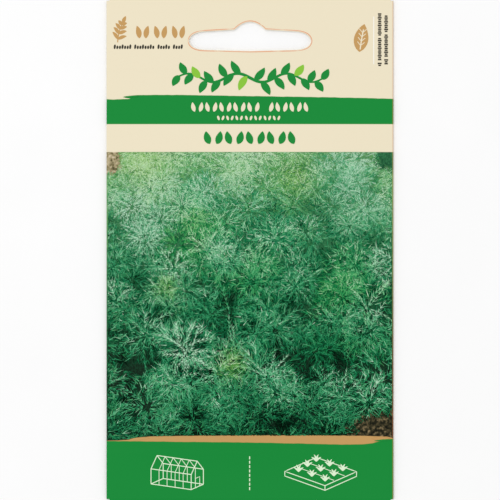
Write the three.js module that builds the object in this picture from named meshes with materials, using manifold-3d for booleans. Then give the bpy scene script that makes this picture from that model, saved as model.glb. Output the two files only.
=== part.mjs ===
// A paper seed packet that lies on its back, with the printed front up.
// One sheet is folded into a flat tube and glued down the middle of the back.
// A flap at each end folds under the back and closes the tube, and a hanging slot goes through every layer.
// The seeds make a low heap in the lower half, and the front panel swells over them.
// Millimetres. +Z is up out of the front, +Y points to the slot, and the origin is under the middle.

import * as THREE from 'three';
import { mergeVertices } from 'three/addons/utils/BufferGeometryUtils.js';
import Module from 'manifold-3d';

// Driving dimensions of the sheet
const WIDTH = 80;
const HEIGHT = 140;
const PAPER = 0.15;
const GLUE_FILM = 0.1;
const SEAM_OVERLAP = 10;
const SEAM_GLUE_WIDTH = 7;
const BOTTOM_FLAP = 14;
const TOP_FLAP = 20;
const FLAP_ROOT_INSET = 0.8;
const FLAP_TAPER = 4.2;
const FLAP_CORNER = 3;

// Driving dimensions of the hanging slot, with heights measured down from the top edge
const SLOT_WIDTH = 34;
const SLOT_BOTTOM_MIDDLE = 14.5;
const SLOT_BOTTOM_ENDS = 14.2;
const SLOT_WAIST = 11.7;
const SLOT_TOP_ENDS = 9.05;
const SLOT_SHOULDER = 8.6;
const SLOT_END_LENGTH = 4.8;
const SLOT_CORNER_INSET = 0.24;
const SLOT_BOTTOM_CORNER = 14.1;
const SLOT_TOP_CORNER = 9.3;
const BUMP_TOP = 6.4;
const BUMP_WIDTH = 8.6;

// Driving dimensions of the swollen front: height, and where along Y it rises and sinks away again
const SEED_SWELL = { height: 2.4, rise: [-64, -42], sink: [-34, 14] };
const AIR_SWELL = { height: 0.8, rise: [-60, -30], sink: [20, 48] };
const SWELL_HALF_WIDTH = 39.4;
const SWELL_FULLNESS = 2.6;

// Driving dimensions of the seeds and of the heap that they make
const HEAP_CENTRE_Y = -36;
const HEAP_HALF_WIDTH = 22;
const HEAP_HALF_LENGTH = 15;
const HEAP_HEIGHT = 1.1;
const SEED_COUNT = 84;
const SEED_LENGTH = 4.2;
const SEED_WIDTH = 2.2;
const SEED_THICKNESS = 0.9;
const SEED_REACH = 0.94;
const SEED_LIFT = 0.1;
const SEED_LIFT_RANGE = 0.15;
const SEED_TILT_RANGE = 0.24;
const RANDOM_SEED = 7;

// How far the glue stays clear of folds, of free edges, of the slot and of the outer panel's step
const GLUE_HALF_WIDTH = 34;
const GLUE_FOLD_GAP = 2;
const GLUE_EDGE_GAP = 1;
const GLUE_SLOT_GAP = 1;
const GLUE_STEP_GAP = 0.3;

// Levels of the layers, bottom up: flaps, outer back, inner back, front
const OUTER_BACK = PAPER + GLUE_FILM;
const INNER_BACK = OUTER_BACK + PAPER + GLUE_FILM;
const FRONT = INNER_BACK + PAPER + GLUE_FILM;
const HALF_PAPER = PAPER / 2;
const FLAP_FOLD_RADIUS = FRONT / 2;
const FLAP_FOLD_Y = HEIGHT / 2 - FLAP_FOLD_RADIUS - HALF_PAPER;
const TUBE_END_GAP = 0.1;
const TUBE_END_Y = FLAP_FOLD_Y - TUBE_END_GAP;
const FLAP_JOIN = 1.2;

// Steps of the facets
const FRONT_COLUMNS = 20;
const FRONT_ROWS = 34;
const FOLD_STEPS = 6;
const CORNER_STEPS = 4;
const SLOT_CURVE_STEPS = 6;
const CORE_SIDES = 16;
const CORE_RINGS = 8;
const SEED_SIDES = 5;
const SEED_RINGS = 3;
const MERGE_DISTANCE = 1e-5;
const CUTTER_REACH = 1;

const { smoothstep } = THREE.MathUtils;
const wasm = await Module();
wasm.setup();

// A closed three.js geometry as a solid that can be joined and cut
function solidFrom(geometry) {
  const bare = geometry.clone();
  bare.deleteAttribute('normal');
  bare.deleteAttribute('uv');
  const merged = mergeVertices(bare, MERGE_DISTANCE);
  const vertProperties = Float32Array.from(merged.attributes.position.array);
  const triVerts = Uint32Array.from(merged.index.array);
  return new wasm.Manifold(new wasm.Mesh({ numProp: 3, vertProperties, triVerts }));
}

function geometryFrom(solid) {
  const mesh = solid.getMesh();
  const geometry = new THREE.BufferGeometry();
  geometry.setAttribute('position', new THREE.BufferAttribute(Float32Array.from(mesh.vertProperties), 3));
  geometry.setIndex(new THREE.BufferAttribute(Uint32Array.from(mesh.triVerts), 1));
  geometry.computeVertexNormals();
  return geometry;
}

// How far the front panel stands off its flat level at a point
function swell(x, y) {
  const across = Math.max(0, 1 - Math.pow(Math.abs(x) / SWELL_HALF_WIDTH, SWELL_FULLNESS));
  const along = ({ height, rise, sink }) => height * smoothstep(y, ...rise) * (1 - smoothstep(y, ...sink));
  return across * (along(SEED_SWELL) + along(AIR_SWELL));
}

// A closed solid from rows of paper sections, each with its points on the outer and the inner face
function sheetSolid(rows) {
  const positions = [];
  const indices = [];
  const count = rows[0].outer.length;
  for (const row of rows) {
    for (const point of [...row.outer, ...row.inner]) positions.push(point.x, point.y, point.z);
  }
  const outer = (row, i) => row * 2 * count + i;
  const inner = (row, i) => outer(row, i) + count;
  const quad = (a, b, c, d) => indices.push(a, b, c, a, c, d);
  for (let r = 0; r + 1 < rows.length; r++) {
    for (let i = 0; i + 1 < count; i++) {
      quad(outer(r, i), outer(r, i + 1), outer(r + 1, i + 1), outer(r + 1, i));
      quad(inner(r, i), inner(r + 1, i), inner(r + 1, i + 1), inner(r, i + 1));
    }
    quad(outer(r, 0), outer(r + 1, 0), inner(r + 1, 0), inner(r, 0));
    const end = count - 1;
    quad(outer(r, end), inner(r, end), inner(r + 1, end), outer(r + 1, end));
  }
  const last = rows.length - 1;
  for (let i = 0; i + 1 < count; i++) {
    quad(outer(0, i), inner(0, i), inner(0, i + 1), outer(0, i + 1));
    quad(outer(last, i), outer(last, i + 1), inner(last, i + 1), inner(last, i));
  }
  const geometry = new THREE.BufferGeometry();
  geometry.setAttribute('position', new THREE.BufferAttribute(new Float32Array(positions), 3));
  geometry.setIndex(indices);
  return solidFrom(facingOut(geometry));
}

// The same geometry with its faces pointing out, whichever way the rows ran
function facingOut(geometry) {
  const position = geometry.attributes.position;
  const index = geometry.index.array;
  const a = new THREE.Vector3();
  const b = new THREE.Vector3();
  const c = new THREE.Vector3();
  let volume = 0;
  for (let i = 0; i < index.length; i += 3) {
    a.fromBufferAttribute(position, index[i]);
    b.fromBufferAttribute(position, index[i + 1]);
    c.fromBufferAttribute(position, index[i + 2]);
    volume += a.dot(b.cross(c));
  }
  if (volume > 0) return geometry;
  const flipped = Array.from(index);
  for (let i = 0; i < flipped.length; i += 3) {
    [flipped[i + 1], flipped[i + 2]] = [flipped[i + 2], flipped[i + 1]];
  }
  geometry.setIndex(flipped);
  return geometry;
}

// The tube's section at one height, from the free edge of the outer back round to that of the inner back
function tubeSection(y) {
  const outer = [];
  const inner = [];
  const add = (x, z, nx, nz) => {
    outer.push(new THREE.Vector3(x + nx * HALF_PAPER, y, z + nz * HALF_PAPER));
    inner.push(new THREE.Vector3(x - nx * HALF_PAPER, y, z - nz * HALF_PAPER));
  };
  const outerBack = OUTER_BACK + HALF_PAPER;
  const innerBack = INNER_BACK + HALF_PAPER;
  const front = FRONT + HALF_PAPER;
  const rightRadius = (front - outerBack) / 2;
  const leftRadius = (front - innerBack) / 2;
  const rightX = WIDTH / 2 - rightRadius - HALF_PAPER;
  const leftX = leftRadius + HALF_PAPER - WIDTH / 2;
  const fold = (centreX, centreZ, radius, from) => {
    for (let i = 0; i <= FOLD_STEPS; i++) {
      const angle = from + (Math.PI * i) / FOLD_STEPS;
      const nx = Math.cos(angle);
      const nz = Math.sin(angle);
      add(centreX + radius * nx, centreZ + radius * nz, nx, nz);
    }
  };
  add(-SEAM_OVERLAP / 2, outerBack, 0, -1);
  fold(rightX, (front + outerBack) / 2, rightRadius, -Math.PI / 2);
  for (let i = 1; i < FRONT_COLUMNS; i++) {
    const x = rightX + ((leftX - rightX) * i) / FRONT_COLUMNS;
    add(x, front + swell(x, y), 0, 1);
  }
  fold(leftX, (front + innerBack) / 2, leftRadius, Math.PI / 2);
  add(SEAM_OVERLAP / 2, innerBack, 0, -1);
  return { outer, inner };
}

function tube() {
  const rows = [];
  for (let i = 0; i <= FRONT_ROWS; i++) {
    rows.push(tubeSection(-TUBE_END_Y + (2 * TUBE_END_Y * i) / FRONT_ROWS));
  }
  return sheetSolid(rows);
}

// Half the flap's width at a distance from its fold: it tapers, and its two corners are round
function flapHalfWidth(distance, length) {
  const tapered = WIDTH / 2 - FLAP_ROOT_INSET - (FLAP_TAPER * distance) / length;
  const toEdge = length - distance;
  if (toEdge >= FLAP_CORNER) return tapered;
  const short = FLAP_CORNER - toEdge;
  return tapered - FLAP_CORNER + Math.sqrt(FLAP_CORNER ** 2 - short ** 2);
}

// A flap with the fold that joins it to the front panel, at the top (side 1) or at the bottom (side -1)
function flap(side, length) {
  const rows = [];
  const add = (y, z, ny, nz, halfWidth) => {
    const face = (sign) => [-1, 1].map((across) => new THREE.Vector3(
      across * halfWidth,
      side * (y + sign * ny * HALF_PAPER),
      z + sign * nz * HALF_PAPER,
    ));
    rows.push({ outer: face(1), inner: face(-1) });
  };
  const rootHalf = flapHalfWidth(0, length);
  add(FLAP_FOLD_Y - FLAP_JOIN, FRONT + HALF_PAPER, 0, 1, rootHalf);
  for (let i = 0; i <= FOLD_STEPS; i++) {
    const angle = Math.PI / 2 - (Math.PI * i) / FOLD_STEPS;
    const ny = Math.cos(angle);
    const nz = Math.sin(angle);
    const y = FLAP_FOLD_Y + FLAP_FOLD_RADIUS * ny;
    const z = FRONT / 2 + HALF_PAPER + FLAP_FOLD_RADIUS * nz;
    add(y, z, ny, nz, rootHalf);
  }
  for (let i = 0; i <= CORNER_STEPS; i++) {
    const toEdge = FLAP_CORNER * (1 - Math.sin((Math.PI * i) / (2 * CORNER_STEPS)));
    const distance = length - toEdge;
    add(HEIGHT / 2 - distance, HALF_PAPER, 0, -1, flapHalfWidth(distance, length));
  }
  return sheetSolid(rows);
}

// The hanging slot: a long hole with round ends and a low round bump in the middle of its top
function slotShape() {
  const level = (down) => HEIGHT / 2 - down;
  const end = SLOT_WIDTH / 2;
  const corner = end - SLOT_CORNER_INSET;
  const straight = end - SLOT_END_LENGTH;
  const bump = BUMP_WIDTH / 2;
  const shape = new THREE.Shape();
  shape.moveTo(0, level(SLOT_BOTTOM_MIDDLE));
  shape.lineTo(straight, level(SLOT_BOTTOM_ENDS));
  shape.quadraticCurveTo(corner, level(SLOT_BOTTOM_CORNER), end, level(SLOT_WAIST));
  shape.quadraticCurveTo(corner, level(SLOT_TOP_CORNER), straight, level(SLOT_TOP_ENDS));
  shape.lineTo(bump, level(SLOT_SHOULDER));
  shape.quadraticCurveTo(bump / 2, level(BUMP_TOP), 0, level(BUMP_TOP));
  shape.quadraticCurveTo(-bump / 2, level(BUMP_TOP), -bump, level(SLOT_SHOULDER));
  shape.lineTo(-straight, level(SLOT_TOP_ENDS));
  shape.quadraticCurveTo(-corner, level(SLOT_TOP_CORNER), -end, level(SLOT_WAIST));
  shape.quadraticCurveTo(-corner, level(SLOT_BOTTOM_CORNER), -straight, level(SLOT_BOTTOM_ENDS));
  return shape;
}

function slotCutter() {
  const depth = FRONT + PAPER + 2 * CUTTER_REACH;
  const options = { depth, bevelEnabled: false, curveSegments: SLOT_CURVE_STEPS };
  const geometry = new THREE.ExtrudeGeometry(slotShape(), options);
  geometry.translate(0, 0, -CUTTER_REACH);
  return solidFrom(geometry);
}

function paperSheet() {
  const folded = tube().add(flap(1, TOP_FLAP)).add(flap(-1, BOTTOM_FLAP));
  return geometryFrom(folded.subtract(slotCutter()));
}

// The glue between a flap and the back panels above it, stepped up past the outer panel's free edge
function flapGlue(fromY, toY) {
  const stepX = -SEAM_OVERLAP / 2 - GLUE_STEP_GAP;
  const profile = new THREE.Shape();
  profile.moveTo(-GLUE_HALF_WIDTH, PAPER);
  profile.lineTo(GLUE_HALF_WIDTH, PAPER);
  profile.lineTo(GLUE_HALF_WIDTH, OUTER_BACK);
  profile.lineTo(stepX, OUTER_BACK);
  profile.lineTo(stepX, INNER_BACK);
  profile.lineTo(-GLUE_HALF_WIDTH, INNER_BACK);
  const geometry = new THREE.ExtrudeGeometry(profile, { depth: toY - fromY, bevelEnabled: false });
  geometry.rotateX(Math.PI / 2);
  geometry.translate(0, toY, 0);
  return geometry;
}

// The glue that joins the outer back to the inner back, down the middle of the seam
function seamGlue(fromY, toY) {
  const geometry = new THREE.BoxGeometry(SEAM_GLUE_WIDTH, toY - fromY, GLUE_FILM);
  geometry.translate(0, (fromY + toY) / 2, INNER_BACK - GLUE_FILM / 2);
  return geometry;
}

// A repeatable random number from 0 to 1
function randomSource(seed) {
  const multiplier = 1664525;
  const increment = 1013904223;
  const modulus = 2 ** 32;
  let state = seed;
  return () => {
    state = (state * multiplier + increment) % modulus;
    return state / modulus;
  };
}

// Height of the heap's smooth core over its floor at a share of its half width and half length
function coreHeight(across, along) {
  return HEAP_HEIGHT * Math.sqrt(Math.max(0, 1 - across * across - along * along));
}

function heapCore() {
  const dome = new THREE.SphereGeometry(1, CORE_SIDES, CORE_RINGS);
  dome.scale(HEAP_HALF_WIDTH, HEAP_HALF_LENGTH, HEAP_HEIGHT);
  dome.translate(0, HEAP_CENTRE_Y, FRONT);
  return solidFrom(dome);
}

// One flat oval seed, longer than wide, turned on its own place in the heap
function seedSolid(x, y, z, turn, tilt) {
  const seed = new THREE.SphereGeometry(1, SEED_SIDES, SEED_RINGS);
  seed.rotateX(Math.PI / 2);
  seed.scale(SEED_LENGTH / 2, SEED_WIDTH / 2, SEED_THICKNESS / 2);
  seed.rotateY(tilt);
  seed.rotateZ(turn);
  seed.translate(x, y, z);
  return solidFrom(seed);
}

// Seeds on a sunflower spread over the core, each sunk to its middle, with the heap's underside cut flat
function seedHeap() {
  const random = randomSource(RANDOM_SEED);
  const goldenAngle = Math.PI * (3 - Math.sqrt(5));
  const pieces = [heapCore()];
  for (let i = 0; i < SEED_COUNT; i++) {
    const reach = SEED_REACH * Math.sqrt((i + 0.5) / SEED_COUNT);
    const across = reach * Math.cos(i * goldenAngle);
    const along = reach * Math.sin(i * goldenAngle);
    const z = FRONT + coreHeight(across, along) + SEED_LIFT + SEED_LIFT_RANGE * random();
    const turn = Math.PI * random();
    const tilt = SEED_TILT_RANGE * (random() - 0.5);
    const x = across * HEAP_HALF_WIDTH;
    const y = HEAP_CENTRE_Y + along * HEAP_HALF_LENGTH;
    pieces.push(seedSolid(x, y, z, turn, tilt));
  }
  const depth = HEAP_HEIGHT + SEED_LENGTH / 2;
  const under = new THREE.BoxGeometry(WIDTH, HEIGHT, depth);
  under.translate(0, 0, FRONT - depth / 2);
  return geometryFrom(wasm.Manifold.union(pieces).subtract(solidFrom(under)));
}

function material(color, roughness) {
  return new THREE.MeshStandardMaterial({ color, roughness, metalness: 0 });
}

function piece(name, geometry, look) {
  const mesh = new THREE.Mesh(geometry, look);
  mesh.name = name;
  return mesh;
}

const printedPaper = material(0xeee3c7, 0.55);
const driedGlue = material(0xe4dfd0, 0.4);
const driedSeed = material(0x8d6b40, 0.85);

// Where the glue starts and ends along Y
const bottomStart = GLUE_FOLD_GAP - HEIGHT / 2;
const bottomEnd = BOTTOM_FLAP - HEIGHT / 2 - GLUE_EDGE_GAP;
const topStart = HEIGHT / 2 - TOP_FLAP + GLUE_EDGE_GAP;
const underSlot = HEIGHT / 2 - SLOT_BOTTOM_MIDDLE - GLUE_SLOT_GAP;

const packet = new THREE.Group();
packet.add(
  piece('paper_sheet', paperSheet(), printedPaper),
  piece('glue_back_seam', seamGlue(bottomStart, underSlot), driedGlue),
  piece('glue_bottom_flap', flapGlue(bottomStart, bottomEnd), driedGlue),
  piece('glue_top_flap', flapGlue(topStart, underSlot), driedGlue),
  piece('seed_heap', seedHeap(), driedSeed),
);

export default packet;
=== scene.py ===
"""A paper seed packet lying on its back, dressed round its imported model: the folded sheet with its swollen
front, the printed bands, a picture of dill foliage in threads of ink, and plain ornaments."""

import math
import random
from collections import namedtuple

import bmesh
import bpy
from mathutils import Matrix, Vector
from mathutils.geometry import delaunay_2d_cdt


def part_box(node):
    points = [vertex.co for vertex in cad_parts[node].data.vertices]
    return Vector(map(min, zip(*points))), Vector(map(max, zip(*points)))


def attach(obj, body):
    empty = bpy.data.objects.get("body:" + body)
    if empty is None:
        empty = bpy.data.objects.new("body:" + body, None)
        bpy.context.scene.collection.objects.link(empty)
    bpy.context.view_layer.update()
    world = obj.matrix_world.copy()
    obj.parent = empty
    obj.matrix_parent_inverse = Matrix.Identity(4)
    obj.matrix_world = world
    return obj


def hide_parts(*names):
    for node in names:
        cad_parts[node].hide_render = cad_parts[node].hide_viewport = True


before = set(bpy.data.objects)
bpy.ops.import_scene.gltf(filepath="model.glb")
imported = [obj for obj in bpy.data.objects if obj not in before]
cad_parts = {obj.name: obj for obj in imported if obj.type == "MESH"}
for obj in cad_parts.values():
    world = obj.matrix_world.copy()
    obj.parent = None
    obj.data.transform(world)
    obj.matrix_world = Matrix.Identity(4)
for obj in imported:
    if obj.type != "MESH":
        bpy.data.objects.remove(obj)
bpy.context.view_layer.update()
sheet_low, sheet_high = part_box("paper_sheet")

# Lengths are in millimetres until a mesh, a lamp or the camera takes them
MM = 0.001
WIDTH = (sheet_high.x - sheet_low.x) / MM
HEIGHT = (sheet_high.y - sheet_low.y) / MM

# The sheet and its layers, as in the model
PAPER = 0.15
GLUE_FILM = 0.1
SEAM_OVERLAP = 10.0
BOTTOM_FLAP = 14.0
TOP_FLAP = 20.0
FLAP_ROOT_INSET = 0.8
FLAP_TAPER = 4.2
FLAP_CORNER = 3.0
TUBE_END_GAP = 0.1
HALF_PAPER = PAPER / 2
OUTER_BACK = PAPER + GLUE_FILM + HALF_PAPER
INNER_BACK = OUTER_BACK + PAPER + GLUE_FILM
FRONT = INNER_BACK + PAPER + GLUE_FILM

# The folds at the sides and at the ends: radius, where they start, and length round the bend
RIGHT_RADIUS = (FRONT - OUTER_BACK) / 2
LEFT_RADIUS = (FRONT - INNER_BACK) / 2
END_RADIUS = (FRONT - HALF_PAPER) / 2
RIGHT_X = WIDTH / 2 - RIGHT_RADIUS - HALF_PAPER
LEFT_X = WIDTH / 2 - LEFT_RADIUS - HALF_PAPER
END_Y = HEIGHT / 2 - END_RADIUS - HALF_PAPER
RIGHT_FOLD = math.pi * RIGHT_RADIUS
LEFT_FOLD = math.pi * LEFT_RADIUS
END_FOLD = math.pi * END_RADIUS
# Where the tube ends, and how wide to each side the flaps start
TUBE_END_Y = END_Y - TUBE_END_GAP
FLAP_ROOT_X = WIDTH / 2 - FLAP_ROOT_INSET

# The hanging slot, with heights measured down from the top edge
SLOT_WIDTH = 34.0
SLOT_BOTTOM_MIDDLE = 14.5
SLOT_BOTTOM_ENDS = 14.2
SLOT_BOTTOM_CORNER = 14.1
SLOT_WAIST = 11.7
SLOT_TOP_CORNER = 9.3
SLOT_TOP_ENDS = 9.05
SLOT_SHOULDER = 8.6
SLOT_END_LENGTH = 4.8
SLOT_CORNER_INSET = 0.24
BUMP_TOP = 6.4
BUMP_WIDTH = 8.6

# The swollen front: how high it stands, and between which heights up the packet it rises and sinks
Swelling = namedtuple("Swelling", "height rise sink")
SEED_SWELL = Swelling(2.4, (-64, -42), (-34, 14))
AIR_SWELL = Swelling(0.8, (-60, -30), (20, 48))
SWELL_HALF_WIDTH = 39.4
SWELL_FULLNESS = 2.6
HEAP_CENTRE_Y = -36.0
HEAP_HALF_WIDTH = 22.0
HEAP_HALF_LENGTH = 15.0

# The print's layout: heights of the bands, up from the middle of the packet
BAND_BOTTOM = 35.08
BAND_TOP_CURVE = [(-40, 42.0), (-36, 42.0), (-34.6, 42.7), (-30, 43.2), (0, 42.9), (28, 42.45), (40, 42.15)]
STROKE_TOP_CURVE = [(-40, -53.15), (-33.5, -52.85), (-29, -52.0), (-20, -51.75), (30, -51.75), (40, -52.45)]
STROKE_FOOT_CURVE = [(-40, -53.25), (-25, -53.35), (0, -53.6), (14, -53.87), (29, -54.17), (36, -53.35),
                     (40, -52.55)]
BRUSH_ROUGHNESS = 0.3
EDGE_LINE_X = 39.68
EDGE_LINE_STRENGTH = 0.32
PICTURE_LEFT = -39.75
PICTURE_RIGHT = 39.65
PICTURE_TOP = 27.31
PICTURE_BOTTOM = -51.85


def srgb(red, green, blue):
    """A colour from its screen values, 0 to 255, as the shaders take it."""
    def linear(level):
        share = level / 255
        return share / 12.92 if share <= 0.04045 else ((share + 0.055) / 1.055) ** 2.4
    return (linear(red), linear(green), linear(blue), 1.0)


CREAM = srgb(238, 227, 199)
GREEN = srgb(20, 138, 57)
TAN = srgb(199, 156, 97)
DARK_INK = srgb(58, 56, 48)
LIGHT_LEAF = srgb(138, 199, 62)
LINE_ORANGE = srgb(232, 166, 132)
EDGE_ORANGE = srgb(208, 130, 88)
PALE_INK = srgb(226, 246, 214)
PALE_BOX = srgb(222, 212, 178)
WHITE_INK = srgb(250, 248, 240)
RAW_PAPER = srgb(240, 236, 226)
FIBRE = srgb(120, 110, 90)
FLOOR_TONES = (srgb(251, 251, 251), srgb(254, 254, 254))
SEED_TONES = (srgb(96, 70, 38), srgb(150, 118, 74))
SEED_RIB = srgb(202, 178, 132)
GLUE_TONES = (srgb(222, 216, 200), srgb(238, 234, 222))

# Tones from dark to light, as (place, red, green, blue): what lies behind the threads, and their three hues
DEEP_TONES = [(0.0, 4, 26, 14), (0.3, 14, 66, 40), (0.6, 50, 122, 76), (1.0, 122, 176, 112)]
SOIL_TONES = [(0.36, 12, 14, 6), (0.47, 38, 38, 22), (0.56, 78, 70, 46), (0.68, 150, 130, 96)]
SAND_TONES = [(0.34, 40, 38, 18), (0.43, 128, 118, 82), (0.54, 178, 164, 128), (0.66, 212, 196, 168)]
COOL_TONES = [(0.0, 1, 8, 4), (0.22, 6, 66, 40), (0.45, 26, 118, 76), (0.7, 58, 158, 109),
              (0.88, 106, 188, 142), (1.0, 194, 226, 202)]
FRESH_TONES = [(0.0, 0, 12, 5), (0.22, 2, 78, 40), (0.45, 8, 122, 62), (0.7, 56, 162, 86),
               (0.88, 116, 194, 116), (1.0, 184, 226, 162)]
SUNNY_TONES = [(0.0, 3, 14, 4), (0.22, 20, 84, 28), (0.45, 58, 130, 46), (0.7, 112, 170, 68),
               (0.88, 160, 202, 96), (1.0, 212, 232, 146)]


# Small helpers

def clamped(value, low, high):
    return min(max(value, low), high)


def smoothstep(value, low, high):
    share = clamped((value - low) / (high - low), 0.0, 1.0)
    return share * share * (3 - 2 * share)


def between(stops, place):
    """The numbers of a few (place, numbers...) stops, read off at a place between them."""
    place = clamped(place, stops[0][0], stops[-1][0])
    for (low, *first), (high, *second) in zip(stops, stops[1:]):
        if place <= high:
            share = (place - low) / (high - low)
            return [a + (b - a) * share for a, b in zip(first, second)]


def stepped(place, length, angle):
    """The place that lies a length away in a direction."""
    return place[0] + length * math.cos(angle), place[1] + length * math.sin(angle)


def quadratic(start, control, end, steps):
    """Points of a quadratic curve, with both its ends."""
    points = []
    for i in range(steps + 1):
        t = i / steps
        weights = ((1 - t) ** 2, 2 * t * (1 - t), t * t)
        points.append(tuple(sum(w * p[k] for w, p in zip(weights, (start, control, end))) for k in (0, 1)))
    return points


def new_mesh(name, points, faces):
    """A mesh from points in millimetres."""
    mesh = bpy.data.meshes.new(name)
    mesh.from_pydata([(x * MM, y * MM, z * MM) for x, y, z in points], [], faces)
    return mesh


def add_object(name, data):
    made = bpy.data.objects.new(name, data)
    bpy.context.scene.collection.objects.link(made)
    return made


# Camera, light and floor

# The photo's frame cuts this much off each end of the packet
FRAME_CUT = 0.3
LENS = 200
SENSOR = 36
SKY_STRENGTH = 0.70
LAMP_SIZE = 900
LAMP_WATTS = 5.3
LAMP_PLACE = (-250, 250, 1150)
FLOOR_HALF = 3000
FLOOR_DROP = 0.02
# The floor's grain, in cycles a metre
FLOOR_GRAIN = 40


def make_camera():
    """A long lens straight above the packet, whose folded ends lie just outside the frame."""
    data = bpy.data.cameras.new("camera")
    data.lens = LENS
    data.sensor_width = SENSOR
    camera = add_object("camera", data)
    camera.location.z = (FRONT + HALF_PAPER + (HEIGHT - 2 * FRAME_CUT) * LENS / SENSOR) * MM
    bpy.context.scene.camera = camera


def make_light():
    """Even white light from all round, with one large soft lamp overhead, a little to the left."""
    scene = bpy.context.scene
    scene.view_settings.view_transform = "Standard"
    scene.world = bpy.data.worlds.new("studio")
    scene.world.use_nodes = True
    sky = scene.world.node_tree.nodes["Background"]
    sky.inputs["Color"].default_value = (1, 1, 1, 1)
    sky.inputs["Strength"].default_value = SKY_STRENGTH
    data = bpy.data.lights.new("soft_lamp", "AREA")
    data.shape = "SQUARE"
    data.size = LAMP_SIZE * MM
    data.energy = LAMP_WATTS
    lamp = add_object("soft_lamp", data)
    lamp.location = Vector(LAMP_PLACE) * MM
    lamp.rotation_euler = (-lamp.location).to_track_quat("-Z", "Y").to_euler()


def make_floor():
    """A pale floor a hair below the packet."""
    half, low = FLOOR_HALF, -FLOOR_DROP
    corners = [(-half, -half, low), (half, -half, low), (half, half, low), (-half, half, low)]
    floor = add_object("floor", new_mesh("floor", corners, [(0, 1, 2, 3)]))
    material, nodes = new_material("pale_floor")
    grain = nodes.noise(nodes.object_place(), FLOOR_GRAIN, detail=3)
    nodes.surface(nodes.mix(grain, *FLOOR_TONES), roughness=0.8)
    floor.data.materials.append(material)


# Shader building

PLAIN_GLOSS = 0.06
EDGE_SOFTNESS = 0.12
CURVE_MARGIN = 0.5


class Nodes:
    """A node tree with one short method for each kind of node that the materials use."""

    def __init__(self, tree):
        self.tree = tree

    def node(self, kind, inputs=(), **settings):
        """A node with its settings and inputs. An input is a socket's key with a value or an output."""
        made = self.tree.nodes.new(kind)
        for name, value in settings.items():
            setattr(made, name, value)
        for key, value in inputs:
            if isinstance(value, bpy.types.NodeSocket):
                self.tree.links.new(value, made.inputs[key])
            else:
                made.inputs[key].default_value = value
        return made

    def math(self, operation, *values, clamp=False):
        made = self.node("ShaderNodeMath", enumerate(values), operation=operation, use_clamp=clamp)
        return made.outputs[0]

    def plus(self, first, second):
        return self.math("ADD", first, second)

    def minus(self, first, second, clamp=False):
        return self.math("SUBTRACT", first, second, clamp=clamp)

    def times(self, first, second):
        return self.math("MULTIPLY", first, second)

    def scaled(self, value, factor, addend):
        return self.math("MULTIPLY_ADD", value, factor, addend)

    def size(self, value):
        return self.math("ABSOLUTE", value)

    def within(self, value, middle, half):
        """1 where value is less than half a width from the middle."""
        return self.math("LESS_THAN", self.size(self.minus(value, middle)), half)

    def over(self, value, level, softness=EDGE_SOFTNESS):
        """1 where value is above level, with a soft edge."""
        return self.math("MULTIPLY_ADD", self.minus(value, level), 1 / softness, 0.5, clamp=True)

    def under(self, value, level, softness=EDGE_SOFTNESS):
        return self.minus(1.0, self.over(value, level, softness))

    def vector(self, operation, *values):
        made = self.node("ShaderNodeVectorMath", enumerate(values), operation=operation)
        return made.outputs["Value" if operation == "LENGTH" else "Vector"]

    def stretched(self, vector, *factors):
        return self.vector("MULTIPLY", vector, factors)

    def split(self, vector):
        return list(self.node("ShaderNodeSeparateXYZ", [(0, vector)]).outputs)

    def mix(self, share, first, second):
        inputs = {"Factor": share, 6: first, 7: second}
        return self.node("ShaderNodeMix", inputs.items(), data_type="RGBA").outputs[2]

    def ramp(self, value, stops):
        """A colour that runs through a few (place, red, green, blue) stops, given by their screen values."""
        made = self.node("ShaderNodeValToRGB", [("Fac", value)])
        elements = made.color_ramp.elements
        elements[0].position, elements[1].position = stops[0][0], stops[-1][0]
        for place, *_ in stops[1:-1]:
            elements.new(place)
        for element, (_, *tones) in zip(elements, stops):
            element.color = srgb(*tones)
        return made.outputs["Color"]

    def noise(self, vector, scale=1.0, detail=4, roughness=0.5):
        inputs = {"Vector": vector, "Scale": scale, "Detail": detail, "Roughness": roughness}
        return self.node("ShaderNodeTexNoise", inputs.items()).outputs["Fac"]

    def remap(self, value, low, high, to_low=0.0, to_high=1.0):
        made = self.node("ShaderNodeMapRange", enumerate((value, low, high, to_low, to_high)))
        return made.outputs["Result"]

    def curve(self, value, points):
        """A height that changes along the packet's width, from a few (place, height) points."""
        low = min(height for _, height in points) - CURVE_MARGIN
        span = max(height for _, height in points) + CURVE_MARGIN - low
        made = self.node("ShaderNodeFloatCurve", [("Value", self.remap(value, -WIDTH / 2, WIDTH / 2))])
        line = made.mapping.curves[0]
        placed = [((place + WIDTH / 2) / WIDTH, (height - low) / span) for place, height in points]
        line.points[0].location = placed[0]
        line.points[1].location = placed[-1]
        for place in placed[1:-1]:
            line.points.new(*place)
        made.mapping.update()
        return self.scaled(made.outputs[0], span, low)

    def object_place(self):
        return self.node("ShaderNodeTexCoord").outputs["Object"]

    def bump(self, height, distance):
        inputs = {"Height": height, "Distance": distance}
        return self.node("ShaderNodeBump", inputs.items()).outputs[0]

    def surface(self, colour, roughness, normal=None, gloss=PLAIN_GLOSS):
        inputs = {"Base Color": colour, "Roughness": roughness, "Specular IOR Level": gloss}
        if normal is not None:
            inputs["Normal"] = normal
        shader = self.node("ShaderNodeBsdfPrincipled", inputs.items())
        self.node("ShaderNodeOutputMaterial", [("Surface", shader.outputs[0])])


def new_material(name):
    material = bpy.data.materials.new(name)
    material.use_nodes = True
    material.node_tree.nodes.clear()
    return material, Nodes(material.node_tree)


# The print on the sheet

# Soil that shows at two corners of the picture: centre, half width and half height
SOIL_PATCHES = [((38.0, -50.5), 13.0, 7.2), ((-38.9, 24.8), 4.1, 4.8)]
# A broad dark leaf behind the picture's top right corner
LEAF_PATCHES = [((38.9, 25.4), 4.4, 4.0)]
PATCH_RAGGEDNESS = 0.9
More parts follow.
